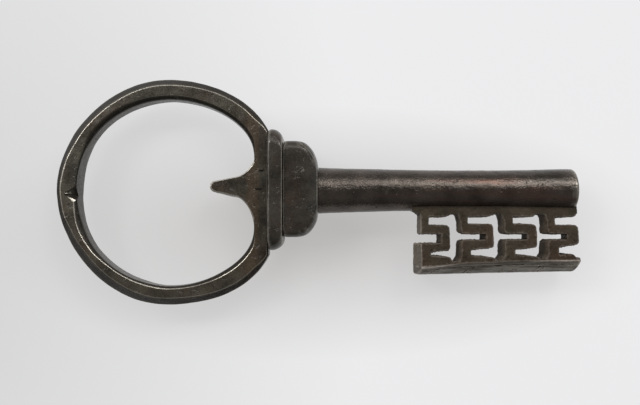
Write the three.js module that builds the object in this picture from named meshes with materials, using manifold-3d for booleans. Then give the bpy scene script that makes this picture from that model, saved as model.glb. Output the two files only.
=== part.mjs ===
// A large forged iron key: a wide ring bow with a spur, a flattened collar,
// a hollow shank and a bit of four meander wards closed by a convex foot.
//
// Millimetres, +Z up. The key lies flat: its shank runs along X, the bow at -X
// and the bit, which hangs towards -Y, at +X. While it is built, x = 0 is the
// face of the collar that the bow sits on, y = 0 and z = 0 the shank's axis.

import * as THREE from 'three';
import { mergeVertices } from 'three/addons/utils/BufferGeometryUtils.js';
import Module from 'manifold-3d';

const wasm = await Module();
wasm.setup();

// Fits
const fitClearance = 0.3; // around a piece that sits inside another
const cutMargin = 2; // how far a cutter runs past what it cuts
const weldDistance = 1e-4;

// Bow: a flat chamfered ring with a straight base bar on the collar
const bowThickness = 6.0;
const bowLength = 52.4; // from the collar to the far end
const bowHalfWidth = 27.9;
const bowCrown = 25.3; // where the bow is widest, from the collar
const bowRootHalf = 15.2; // half of the bow's width at the collar
const bowMiddle = -0.35; // the bow's middle line beside the shank's axis
const bowRootMiddle = -0.85; // and that of its root, which sits a little lower
const bowOuterChamfer = 1.4;
const bowInnerChamfer = 1.0;
const farRise = 0.5; // the far end lies a little above the middle line
const farBand = 5.0; // width of the band at the far end
const sideBand = 4.8; // where the bow is widest
const cornerBand = 6.8; // and beside the collar
const openingShift = 0.9; // the opening is widest nearer the collar
const openingMiddle = -0.6;
const baseBarWidth = 3.6;

// Nick filed into the front of the far end, from the opening outwards
const nickReach = 3.15;
const nickAbove = 1.9; // from its tip to its corners at the opening
const nickBelow = 2.4;
const nickDepth = 2.2;

// Spur that points into the bow, with a tang let into the base bar
const spurReach = 10.9; // from the base bar
const spurThickness = 5.6;
const spurMiddle = 0.85;
const spurTipHalf = 1.45;
const spurNeckHalf = 2.35;
const spurNeckReach = 5.4; // from the base bar, where the flares end
const spurRootInset = 0.3; // its flares end this far inside the base bar's ends
const spurFlareHug = 0.3; // how closely the flares follow the base bar
const spurFlareRise = 2.9;
const spurFlareLead = 0.5; // share of the neck where a flare turns into it
const tangWidth = 4.4;
const tangDepth = 2.0; // into the base bar
const tangMiddle = 2.45;

// Collar: a plate and a knop, both flattened to rounded rectangles
const plateThickness = 3.6;
const plateHalfHeight = 14.75;
const plateHalfDepth = 8.0;
const plateCorner = 4.0;
const knopLength = 8.6;
const knopHalfHeight = 11.75;
const knopHalfDepth = 6.9;
const knopCorner = 2.2;
const knopMiddle = 0.12;

// Shank: a pipe drilled from the bit's end, with a tenon through the collar
const neckRadius = 5.75; // at the knop
const throatRadius = 5.5; // where the neck's flare ends
const throatLength = 6.5;
const shankRadius = 5.05; // along most of its length
const muzzleRadius = 5.35; // at the open end
const shankLength = 63.52; // from the knop to the open end
const waistStart = 0.42; // shares of that length where it is thinnest
const waistEnd = 0.72;
const boreRadius = 3.2;
const boreDepth = 45;
const boreTipLength = 1.8;
const rimRadius = 0.7;
const tenonRadius = 3.0;

// Bit: four wards, each a meander of bars, from a flat under the shank
const wardWidths = [7.05, 7.95, 7.85, 7.5];
const slotWidth = 2.7; // between two wards
const seatHalfDepth = 3.0; // half of a ward's thickness at the shank
const footSeatHalfDepth = 4.4; // and at the foot
const rootFlare = 0.9; // a ward widens towards the shank
const rootFlareEnd = 5.9; // this and the next ones are from the shank's axis
const rampLength = 2.0; // the first ward's flare on the bow side
const topBarEnd = 6.7;
const topBarCorner = 1.0; // its outer corner is filed away beside a slot
const upperGapEnds = [8.65, 8.35, 8.35, 8.6];
const secondBarEnd = 10.85;
const middleGapEnds = [13.1, 12.3, 12.2, 12.2];
const thirdBarEnds = [15.35, 14.8, 14.75, 14.3];
const thirdBarRises = [0.5, 0.55, 0.6, 0.9]; // its outer edge climbs away from the bow
const lowerGapEnds = [16.0, 16.1, 15.85, 16.0];
const footLip = 0.6; // least metal between the lower gap and the foot
const footFlare = 0.8; // a ward widens towards the foot
const upperWalls = [1.95, 1.85, 2.2, 1.95]; // upright beside the upper gap
const middleWalls = [2.0, 1.6, 1.9, 2.2]; // upright beside the middle gap
const lowerWalls = [2.45, 2.4, 2.5, 2.7]; // upright beside the lower gap

// Foot: the bar across the wards' outer ends
const footHalfDepth = 4.6;
const footOverhang = 0.52; // past the first ward's upper bars, with its lower ones
const footNose = 0.35; // past the last ward
const footLean = 0.45; // its end at the bow side leans back by this, up and down
const footTopFirst = 17.8; // face that the wards stand on, at the bow side
const footTopLast = 16.5; // and at the open end
const footArrises = [19.2, 17.9, 17.4, 17.4]; // edge of the rounded face along the foot
const footReachFirst = 21.05; // deepest line of the rounded face
const footReachLast = 20.2;
const footEase = 0.5; // rounding of its two ends
const footCrest = 0.7; // how far back its deepest line lies, as a share of its depth

// Fineness of the round shapes
const curveSteps = 16;
const cornerSteps = 6;
const roundSteps = 48;
const footSteps = 8;

// What follows from the sizes above
const openingFar = bowLength - farBand;
const openingHalfWidth = bowHalfWidth - sideBand;
const openingCrown = bowCrown - openingShift;
const openingRootHalf = bowRootHalf - cornerBand;
const seatDrop = Math.sqrt(shankRadius ** 2 - seatHalfDepth ** 2);
const knopEnd = plateThickness + knopLength;
const shankEnd = knopEnd + shankLength;
const lastWard = wardWidths.length - 1;
const bitLength = wardWidths.reduce((sum, width) => sum + width, slotWidth * lastWard);
const wardFirst = shankEnd - bitLength;
const footStart = wardFirst - footOverhang;
const footEnd = shankEnd + footNose;

const wards = [];
wardWidths.reduce((left, width, number) => {
  const right = left + width;
  wards.push({
    number,
    left,
    right,
    seatLeft: left - (number === 0 ? rampLength : rootFlare),
    seatRight: right + (number === lastWard ? 0 : rootFlare),
    lowerLeft: left - (number === 0 ? footOverhang : 0),
    footLeft: left - (number === 0 ? footOverhang : footFlare),
    footRight: right + (number === lastWard ? footFlare / 2 : footFlare),
  });
  return right + slotWidth;
}, wardFirst);

function footTop(x) {
  const share = (x - footStart) / (footEnd - footStart);
  return footTopFirst + (footTopLast - footTopFirst) * share;
}

function iron(color, roughness, metalness) {
  return new THREE.MeshStandardMaterial({ color, roughness, metalness });
}

const finishes = {
  bow: iron(0x4a463a, 0.5, 0.85),
  spur: iron(0x544c3e, 0.55, 0.85),
  collar: iron(0x453f36, 0.5, 0.85),
  shank: iron(0x40362e, 0.45, 0.85),
  bit: iron(0x49423a, 0.55, 0.85),
};

// A closed mesh as a solid, for a boolean cut or join
function toSolid(geometry) {
  const bare = new THREE.BufferGeometry();
  bare.setAttribute('position', geometry.getAttribute('position').clone());
  bare.setIndex(geometry.getIndex());
  const welded = mergeVertices(bare, weldDistance);
  const index = welded.getIndex().array;
  const triVerts = [];
  for (let i = 0; i < index.length; i += 3) {
    const [a, b, c] = index.slice(i, i + 3);
    if (a !== b && b !== c && c !== a) {
      triVerts.push(a, b, c);
    }
  }
  return new wasm.Manifold(new wasm.Mesh({
    numProp: 3,
    vertProperties: new Float32Array(welded.getAttribute('position').array),
    triVerts: new Uint32Array(triVerts),
  }));
}

function toGeometry(solid) {
  const mesh = solid.getMesh();
  const geometry = new THREE.BufferGeometry();
  geometry.setAttribute('position', new THREE.BufferAttribute(mesh.vertProperties, 3));
  geometry.setIndex(new THREE.BufferAttribute(mesh.triVerts, 1));
  geometry.computeVertexNormals();
  return geometry;
}

function box(xMin, xMax, yMin, yMax, zMin, zMax) {
  const geometry = new THREE.BoxGeometry(xMax - xMin, yMax - yMin, zMax - zMin);
  geometry.translate((xMin + xMax) / 2, (yMin + yMax) / 2, (zMin + zMax) / 2);
  return geometry;
}

// A bar of the given shape, centred on z = 0
function slab(shape, thickness, steps = curveSteps) {
  const geometry = new THREE.ExtrudeGeometry(shape, {
    depth: thickness,
    bevelEnabled: false,
    curveSegments: steps,
  });
  geometry.translate(0, 0, -thickness / 2);
  return geometry;
}

// A solid through closed sections with the same number of points, along +X
function loft(sections) {
  const count = sections[0].length;
  const positions = sections.flat().flatMap((point) => point.toArray());
  const index = [];
  for (let s = 0; s < sections.length - 1; s += 1) {
    for (let i = 0; i < count; i += 1) {
      const a = s * count + i;
      const b = s * count + (i + 1) % count;
      index.push(a, b, b + count, a, b + count, a + count);
    }
  }
  const ends = [sections[0], sections[sections.length - 1]];
  ends.forEach((section, end) => {
    const centre = positions.length / 3;
    const first = end === 0 ? 0 : (sections.length - 1) * count;
    const middle = new THREE.Vector3();
    section.forEach((point) => middle.add(point));
    positions.push(...middle.divideScalar(count).toArray());
    for (let i = 0; i < count; i += 1) {
      const here = first + i;
      const next = first + (i + 1) % count;
      index.push(centre, end === 0 ? next : here, end === 0 ? here : next);
    }
  });
  const geometry = new THREE.BufferGeometry();
  geometry.setAttribute('position', new THREE.Float32BufferAttribute(positions, 3));
  geometry.setIndex(index);
  geometry.computeVertexNormals();
  return geometry;
}

// A rounded rectangle across the shank's axis, turning from +Y to +Z
function collarSection(x, middle, halfHeight, halfDepth, radius) {
  const corners = [[1, 1], [-1, 1], [-1, -1], [1, -1]];
  return corners.flatMap(([sideY, sideZ], corner) => {
    const points = [];
    for (let i = 0; i <= cornerSteps; i += 1) {
      const angle = (corner + i / cornerSteps) * Math.PI / 2;
      const y = sideY * (halfHeight - radius) + radius * Math.cos(angle);
      const z = sideZ * (halfDepth - radius) + radius * Math.sin(angle);
      points.push(new THREE.Vector3(x, middle + y, z));
    }
    return points;
  });
}

// The bow's outline or its opening: four curves and the straight base line
function ringOutline(size) {
  const outline = new THREE.Shape();
  const { far, crown, half, rootX, rootHalf, middle, rootMiddle } = size;
  outline.moveTo(rootX, rootMiddle + rootHalf);
  outline.bezierCurveTo(
    rootX - size.rootPull.x, rootMiddle + rootHalf + size.rootPull.y,
    -crown + size.crownPull, middle + half,
    -crown, middle + half,
  );
  outline.bezierCurveTo(
    -crown - size.sidePull, middle + half,
    -far, middle + farRise + size.farPull,
    -far, middle + farRise,
  );
  outline.bezierCurveTo(
    -far, middle + farRise - size.farPull,
    -crown - size.sidePull, middle - half,
    -crown, middle - half,
  );
  outline.bezierCurveTo(
    -crown + size.crownPull, middle - half,
    rootX - size.rootPull.x, rootMiddle - rootHalf - size.rootPull.y,
    rootX, rootMiddle - rootHalf,
  );
  outline.closePath();
  return outline;
}

// Each pull is the length of a curve's handle
const bowOutline = ringOutline({
  far: bowLength,
  crown: bowCrown,
  half: bowHalfWidth,
  rootX: 0,
  rootHalf: bowRootHalf,
  middle: bowMiddle,
  rootMiddle: bowRootMiddle,
  rootPull: { x: bowCrown * 0.172, y: (bowHalfWidth - bowRootHalf) * 0.72 },
  crownPull: bowCrown * 0.387,
  sidePull: (bowLength - bowCrown) * 0.52,
  farPull: bowHalfWidth * 0.539,
});

const openingOutline = ringOutline({
  far: openingFar,
  crown: openingCrown,
  half: openingHalfWidth,
  rootX: -baseBarWidth,
  rootHalf: openingRootHalf,
  middle: openingMiddle,
  rootMiddle: openingMiddle,
  rootPull: { x: 0, y: (openingHalfWidth - openingRootHalf) * 0.63 },
  crownPull: (openingCrown - baseBarWidth) * 0.404,
  sidePull: (openingFar - openingCrown) * 0.355,
  farPull: openingHalfWidth * 0.753,
});

function tangOutline(clearance) {
  const shape = new THREE.Shape();
  const half = tangWidth / 2 + clearance;
  const inner = -baseBarWidth + tangDepth + clearance;
  const outer = -baseBarWidth - clearance * cutMargin;
  shape.moveTo(outer, tangMiddle - half);
  shape.lineTo(inner, tangMiddle - half);
  shape.lineTo(inner, tangMiddle + half);
  shape.lineTo(outer, tangMiddle + half);
  shape.closePath();
  return shape;
}

// A wedge that is deepest at the opening and runs out at its tip on the front
function nick() {
  const tipX = -openingFar - nickReach;
  const mouthX = -openingFar + cutMargin;
  const run = (mouthX - tipX) / nickReach;
  const front = bowThickness / 2;
  const sections = [
    { x: tipX, width: 0.01, floor: front - 0.01 },
    { x: mouthX, width: run, floor: front - nickDepth * run },
  ];
  return loft(sections.map(({ x, width, floor }) => [
    new THREE.Vector3(x, openingMiddle + nickAbove * width, front + cutMargin),
    new THREE.Vector3(x, openingMiddle - nickBelow * width, front + cutMargin),
    new THREE.Vector3(x, openingMiddle - nickBelow * width, front),
    new THREE.Vector3(x, openingMiddle - 0.2 * width, floor),
    new THREE.Vector3(x, openingMiddle + nickAbove * width, front),
  ]));
}

function bowRing() {
  const blank = new THREE.ExtrudeGeometry(bowOutline, {
    depth: bowThickness - 2 * bowOuterChamfer,
    bevelThickness: bowOuterChamfer,
    bevelSize: bowOuterChamfer,
    bevelOffset: -bowOuterChamfer,
    bevelSegments: 1,
    curveSegments: curveSteps,
  });
  blank.translate(0, 0, bowOuterChamfer - bowThickness / 2);
  // the opening's cutter is narrowest in the middle, so that it chamfers both rims
  const flare = bowInnerChamfer + cutMargin;
  const opening = new THREE.ExtrudeGeometry(openingOutline, {
    depth: bowThickness - 2 * bowInnerChamfer,
    bevelThickness: flare,
    bevelSize: -flare,
    bevelOffset: flare,
    bevelSegments: 1,
    curveSegments: curveSteps,
  });
  opening.translate(0, 0, bowInnerChamfer - bowThickness / 2);
  const through = bowThickness + 2 * cutMargin;
  return toGeometry(toSolid(blank)
    .subtract(toSolid(opening))
    .subtract(toSolid(nick()))
    .subtract(toSolid(slab(tangOutline(fitClearance), through))));
}

function bowSpur() {
  const root = -baseBarWidth;
  const rootTop = openingMiddle + openingRootHalf - spurRootInset;
  const rootBottom = openingMiddle - openingRootHalf + spurRootInset;
  const neck = root - spurNeckReach;
  const tip = root - spurReach + spurTipHalf;
  const shape = new THREE.Shape();
  shape.moveTo(root, rootTop);
  shape.bezierCurveTo(
    root - spurFlareHug, spurMiddle + spurNeckHalf + spurFlareRise,
    root - spurNeckReach * spurFlareLead, spurMiddle + spurNeckHalf,
    neck, spurMiddle + spurNeckHalf,
  );
  shape.lineTo(tip, spurMiddle + spurTipHalf);
  shape.absarc(tip, spurMiddle, spurTipHalf, Math.PI / 2, 3 * Math.PI / 2, false);
  shape.lineTo(neck, spurMiddle - spurNeckHalf);
  shape.bezierCurveTo(
    root - spurNeckReach * spurFlareLead, spurMiddle - spurNeckHalf,
    root - spurFlareHug, spurMiddle - spurNeckHalf - spurFlareRise,
    root, rootBottom,
  );
  shape.closePath();
  return toGeometry(toSolid(slab(shape, spurThickness))
    .add(toSolid(slab(tangOutline(0), spurThickness))));
}

function tenonHole() {
  const radius = tenonRadius + fitClearance;
  const length = knopEnd + 2 * cutMargin;
  const geometry = new THREE.CylinderGeometry(radius, radius, length, roundSteps);
  geometry.rotateZ(-Math.PI / 2);
  geometry.translate(knopEnd / 2, 0, 0);
  return geometry;
}

function collarPlate() {
  // place along the thickness, and how far the section is drawn in there
  const stations = [[0, 0.4, 0.3], [0.1, 0.15, 0], [0.35, 0, 0], [0.65, 0.35, 0], [0.88, 1.2, 0], [1, 2.4, 0.3]];
  const sections = stations.map(([share, drawY, drawZ]) => collarSection(
    plateThickness * share, 0, plateHalfHeight - drawY, plateHalfDepth - drawZ, plateCorner,
  ));
  return toGeometry(toSolid(loft(sections)).subtract(toSolid(tenonHole())));
}

function collarKnop() {
  // shares of the way from the plate to the shank, along and across
  const stations = [[0, 0.02], [0.08, 0], [0.46, 0], [0.62, 0.1], [0.78, 0.3], [0.92, 0.65], [1, 1]];
  const sections = stations.map(([along, inwards]) => {
    const blend = (from, to) => from + (to - from) * inwards;
    return collarSection(
      plateThickness + knopLength * along,
      blend(knopMiddle, 0),
      blend(knopHalfHeight, neckRadius),
      blend(knopHalfDepth, neckRadius),
      blend(knopCorner, neckRadius),
    );
  });
  return toGeometry(toSolid(loft(sections)).subtract(toSolid(tenonHole())));
}

function shankPipe() {
  const boreEnd = shankEnd - boreDepth;
  const profile = [
    [0, 0],
    [tenonRadius, 0],
    [tenonRadius, knopEnd],
    [neckRadius, knopEnd],
    [throatRadius, knopEnd + throatLength],
    [shankRadius, knopEnd + shankLength * waistStart],
    [shankRadius, knopEnd + shankLength * waistEnd],
    [muzzleRadius, shankEnd - rimRadius],
    [muzzleRadius - rimRadius * 0.3, shankEnd - rimRadius * 0.3],
    [muzzleRadius - rimRadius, shankEnd],
    [boreRadius, shankEnd],
    [boreRadius, boreEnd],
    [0, boreEnd - boreTipLength],
  ].map(([radius, along]) => new THREE.Vector2(radius, along));
  const pipe = new THREE.LatheGeometry(profile, roundSteps);
  pipe.rotateZ(-Math.PI / 2);
  const seats = wards.map(({ number, seatLeft, seatRight }) => toSolid(box(
    seatLeft, number === lastWard ? seatRight + cutMargin : seatRight,
    -seatDrop - neckRadius, -seatDrop,
    -neckRadius, neckRadius,
  )));
  return toGeometry(seats.reduce((solid, seat) => solid.subtract(seat), toSolid(pipe)));
}

// One ward: bars joined by uprights on alternate sides, thicker towards the foot
function bitWard(ward) {
  const { number, left, right } = ward;
  const upper = left + upperWalls[number];
  const middle = right - middleWalls[number];
  const lower = left + lowerWalls[number];
  const corners = [
    [ward.seatLeft, seatDrop], [ward.seatRight, seatDrop],
    [ward.seatRight, shankRadius], [right, rootFlareEnd],
    [right - topBarCorner, topBarEnd], [upper, topBarEnd],
    [upper, upperGapEnds[number]], [right, upperGapEnds[number]],
    [right, thirdBarEnds[number] - thirdBarRises[number]], [lower, thirdBarEnds[number]],
    [lower, lowerGapEnds[number]], [right, footTop(right) - footLip],
    [ward.footRight, footTop(ward.footRight)], [ward.footLeft, footTop(ward.footLeft)],
    [ward.lowerLeft, footTop(left) - footFlare],
    [ward.lowerLeft, middleGapEnds[number]], [middle, middleGapEnds[number]],
    [middle, secondBarEnd], [left, secondBarEnd],
    [left, rootFlareEnd], [ward.seatLeft, shankRadius],
  ];
  const shape = new THREE.Shape(corners.map(([x, down]) => new THREE.Vector2(x, -down)));
  const geometry = slab(shape, 2);
  const position = geometry.getAttribute('position');
  for (let i = 0; i < position.count; i += 1) {
    const share = (-position.getY(i) - seatDrop) / (footTopFirst - seatDrop);
    const halfDepth = seatHalfDepth + (footSeatHalfDepth - seatHalfDepth) * share;
    const side = Math.sign(position.getZ(i));
    position.setZ(i, side * halfDepth);
    const x = position.getX(i);
    if (x < wardFirst && -position.getY(i) > secondBarEnd) {
      const leaning = x + side * footLean;
      position.setX(i, leaning);
      position.setY(i, position.getY(i) + footTop(x) - footTop(leaning));
    }
  }
  geometry.computeVertexNormals();
  return geometry;
}

// The foot's section at x, drawn in all round by ease
function footSection(x, arris, ease) {
  const share = (x - footStart) / (footEnd - footStart);
  const reach = footReachFirst + (footReachLast - footReachFirst) * share - ease;
  const halfDepth = footHalfDepth - ease;
  const top = footTop(x) + ease;
  const points = [[-top, -halfDepth], [-top, halfDepth]];
  for (let i = 0; i <= footSteps; i += 1) {
    const across = 1 - 2 * i / footSteps;
    const rise = Math.min(1, (1 - across) / 2 / footCrest);
    const bulge = (reach - arris) * (1 - (1 - rise) ** 2);
    points.push([-arris - bulge, across * halfDepth]);
  }
  return points.map(([y, z]) => new THREE.Vector3(x, y, z));
}

function bitFoot() {
  const lastArris = footArrises.length - 1;
  const body = footArrises.map((arris, i) => {
    const from = footStart + footEase / 2;
    const to = footEnd - footEase;
    return footSection(from + (to - from) * i / lastArris, arris, 0);
  });
  const leaning = [footSection(footStart, footArrises[0], footEase / 2), body[0]];
  leaning.flat().forEach((point) => {
    const x = point.x + footLean * point.z / footHalfDepth;
    point.y += footTop(point.x) - footTop(x);
    point.x = x;
  });
  return loft([
    ...leaning,
    ...body.slice(1),
    footSection(footEnd, footArrises[lastArris] + footEase, footEase),
  ]);
}

const key = new THREE.Group();
// the origin is under the middle of the key, on the surface it lies on
key.position.set((bowLength - footEnd) / 2, -bowMiddle, plateHalfDepth);

function addPiece(name, geometry, finish) {
  const mesh = new THREE.Mesh(geometry, finish);
  mesh.name = name;
  key.add(mesh);
}

addPiece('bow_ring', bowRing(), finishes.bow);
addPiece('bow_spur', bowSpur(), finishes.spur);
addPiece('collar_plate', collarPlate(), finishes.collar);
addPiece('collar_knop', collarKnop(), finishes.collar);
addPiece('shank_pipe', shankPipe(), finishes.shank);

wards.forEach((ward) => {
  addPiece(`bit_ward_${ward.number + 1}`, bitWard(ward), finishes.bit);
});
addPiece('bit_foot', bitFoot(), finishes.bit);

const group = new THREE.Group();
group.add(key);

export default group;
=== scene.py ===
"""Looks of a large forged iron key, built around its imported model.

The model's frame is in metres: the shank runs along X, the bow is at -X, the bit
hangs towards -Y and the key lies on z = 0. Sizes below are millimetres from the
datum: x from the collar face that the bow sits on, y and z from the shank's axis.
"""

import logging
import math
from collections.abc import Callable, Sequence
from dataclasses import dataclass
from enum import Enum
from typing import Any

import bmesh
import bpy
import numpy as np
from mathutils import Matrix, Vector


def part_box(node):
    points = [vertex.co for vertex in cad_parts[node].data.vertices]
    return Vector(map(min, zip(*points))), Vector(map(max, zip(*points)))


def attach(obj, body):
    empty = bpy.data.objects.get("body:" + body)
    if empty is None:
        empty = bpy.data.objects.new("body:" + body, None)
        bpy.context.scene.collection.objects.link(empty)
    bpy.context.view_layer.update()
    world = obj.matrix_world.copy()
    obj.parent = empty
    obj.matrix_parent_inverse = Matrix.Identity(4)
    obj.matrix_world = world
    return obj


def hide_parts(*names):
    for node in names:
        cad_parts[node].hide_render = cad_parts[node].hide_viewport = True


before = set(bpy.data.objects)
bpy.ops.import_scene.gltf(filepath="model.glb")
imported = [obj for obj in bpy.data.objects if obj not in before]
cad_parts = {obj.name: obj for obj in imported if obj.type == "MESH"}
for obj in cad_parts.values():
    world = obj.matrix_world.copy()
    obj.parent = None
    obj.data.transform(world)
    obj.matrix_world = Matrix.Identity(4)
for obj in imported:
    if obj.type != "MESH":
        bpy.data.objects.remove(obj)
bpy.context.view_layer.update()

MM = 0.001
BODY = "root"
RELIEF = "relief"
# Attribute for where the side walls get painted light.
SIDE_LIGHT = "sides"
log = logging.getLogger("key")

Color = tuple[float, float, float, float]
Loop = list[Vector]
Piece = bpy.types.Object
Finish = bpy.types.Material
Table = tuple[tuple[float, ...], ...]


class Slot(Enum):
    """The record's material slots."""

    BOW = "bow_iron"
    COLLAR = "collar_iron"
    SHANK = "shank_iron"
    BIT = "bit_iron"


@dataclass(frozen=True)
class Wire:
    """A shader socket whose operators add Math nodes."""

    maker: "NodeMaker"
    socket: bpy.types.NodeSocket

    def math(self, operation: str, *values: Any) -> "Wire":
        """Adds one Math node to wires or numbers."""
        return self.maker.node("ShaderNodeMath", {"operation": operation}, dict(enumerate(values)))

    def __add__(self, other: Any) -> "Wire":
        """Adds a wire or a number."""
        return self.math("ADD", self, other)

    def __radd__(self, other: Any) -> "Wire":
        """Adds to a number."""
        return self.math("ADD", other, self)

    def __sub__(self, other: Any) -> "Wire":
        """Subtracts a wire or a number."""
        return self.math("SUBTRACT", self, other)

    def __rsub__(self, other: Any) -> "Wire":
        """Subtracts from a number."""
        return self.math("SUBTRACT", other, self)

    def __mul__(self, other: Any) -> "Wire":
        """Multiplies by a wire or a number."""
        return self.math("MULTIPLY", self, other)

    def __rmul__(self, other: Any) -> "Wire":
        """Multiplies a number."""
        return self.math("MULTIPLY", other, self)

    def clipped(self, high: float = 1.0) -> "Wire":
        """Holds the value between 0 and a number."""
        return self.math("MINIMUM", self.math("MAXIMUM", self, 0.0), high)

    def past(self, start: float, fade: float, high: float = 1.0) -> "Wire":
        """Gives how far the value is past a start, held between 0 and a number."""
        return ((self - start) * (1 / fade)).clipped(high)


class NodeMaker:
    """Adds nodes to one material or world."""

    def __init__(self, owner: bpy.types.ID) -> None:
        """Empties the owner's node tree.

        Args:
            owner: A material or a world.
        """
        self.owner = owner
        owner.use_nodes = True
        self.nodes = owner.node_tree.nodes
        self.links = owner.node_tree.links
        self.nodes.clear()

    def node(
        self, kind: str, settings: dict[str, Any], inputs: dict[Any, Any], output: Any = 0
    ) -> Wire:
        """Adds a node.

        Args:
            kind: The node's type.
            settings: Its settings; "stops" holds a ramp's places and colours.
            inputs: A value or a wire for each socket, by name, place or identifier.
            output: The output that is returned, by name, place or identifier.

        Returns:
            The chosen output, or the first input of a node without outputs.
        """
        made = self.nodes.new(kind)
        for key, value in settings.items():
            if key == "stops":
                self._set_stops(made.color_ramp, value)
            else:
                setattr(made, key, value)
        for key, value in inputs.items():
            socket = self._socket(made.inputs, key)
            if isinstance(value, Wire):
                self.links.new(value.socket, socket)
            else:
                socket.default_value = value
        chosen = self._socket(made.outputs, output) if made.outputs else made.inputs[0]
        return Wire(self, chosen)

    @staticmethod
    def _socket(sockets: Any, key: Any) -> bpy.types.NodeSocket:
        """Finds a socket by place, identifier or name."""
        if isinstance(key, int):
            return sockets[key]
        return next((one for one in sockets if one.identifier == key), None) or sockets[key]

    @staticmethod
    def _set_stops(ramp: bpy.types.ColorRamp, stops: Sequence[tuple[float, Any]]) -> None:
        """Gives a ramp its stops.

        Args:
            ramp: The ramp.
            stops: Pairs of a place and a grey level or a colour.
        """
        while len(ramp.elements) < len(stops):
            ramp.elements.new(1.0)
        for element, (place, level) in zip(ramp.elements, stops):
            element.position = place
            element.color = level if isinstance(level, tuple) else (level, level, level, 1.0)

    def place(self) -> Wire:
        """Gives the Object coordinates."""
        return self.node("ShaderNodeTexCoord", {}, {}, "Object")

    def along(self, axis: int) -> Wire:
        """Gives one of the Object coordinates, in millimetres."""
        return self.part(self.place(), axis) * (1 / MM)

    def part(self, vector: Wire, axis: int) -> Wire:
        """Gives one part of a vector."""
        return self.node("ShaderNodeSeparateXYZ", {}, {0: vector}, axis)

    def stored(self, name: str) -> Wire:
        """Gives a value that is stored with the points."""
        return self.node("ShaderNodeAttribute", {"attribute_name": name}, {}, "Fac")

    def bump(self, height: Wire, depth: float, strength: float, **more: Wire) -> Wire:
        """Gives the normal of a surface with small heights."""
        inputs = {"Height": height, "Distance": depth, "Strength": strength, **more}
        return self.node("ShaderNodeBump", {}, inputs)

    def spot(self, shift: tuple[float, float, float], scale: tuple[float, float, float]) -> Wire:
        """Gives a soft round spot, 1 in its middle, on moved and scaled Object coordinates."""
        inputs = {"Vector": self.place(), "Location": shift, "Scale": scale}
        moved = self.node("ShaderNodeMapping", {}, inputs)
        return self.node("ShaderNodeTexGradient", {"gradient_type": "SPHERICAL"}, {0: moved}, "Fac")

    def stretched(self, scale: tuple[float, float, float]) -> Wire:
        """Gives the Object coordinates, scaled along each axis."""
        return self.node("ShaderNodeMapping", {}, {"Vector": self.place(), "Scale": scale})

    def noise(self, cell_mm: float, detail: float, vector: Wire, roughness: float = 0.6) -> Wire:
        """Gives a noise value.

        Args:
            cell_mm: The size of the largest marks.
            detail: Octaves.
            vector: Where the noise is read.
            roughness: How strong the fine octaves are.

        Returns:
            The noise from 0 to 1.
        """
        inputs = {"Vector": vector, "Scale": 1 / (cell_mm * MM), "Detail": detail}
        return self.node("ShaderNodeTexNoise", {}, {**inputs, "Roughness": roughness}, "Fac")

    def ramp(self, value: Wire, *stops: tuple[float, Any]) -> Wire:
        """Runs a value through a colour ramp."""
        return self.node("ShaderNodeValToRGB", {"stops": stops}, {"Fac": value}, "Color")

    def mix(self, share: Any, first: Any, second: Any) -> Wire:
        """Blends two colours by a share."""
        inputs = {"Factor_Float": share, "A_Color": first, "B_Color": second}
        return self.node("ShaderNodeMix", {"data_type": "RGBA"}, inputs, "Result_Color")

    def surface(self, inputs: dict[str, Any]) -> None:
        """Ends a material in a Principled shader with the given inputs."""
        shader = self.node("ShaderNodeBsdfPrincipled", {}, inputs, "BSDF")
        self.node("ShaderNodeOutputMaterial", {}, {"Surface": shader})


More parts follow.
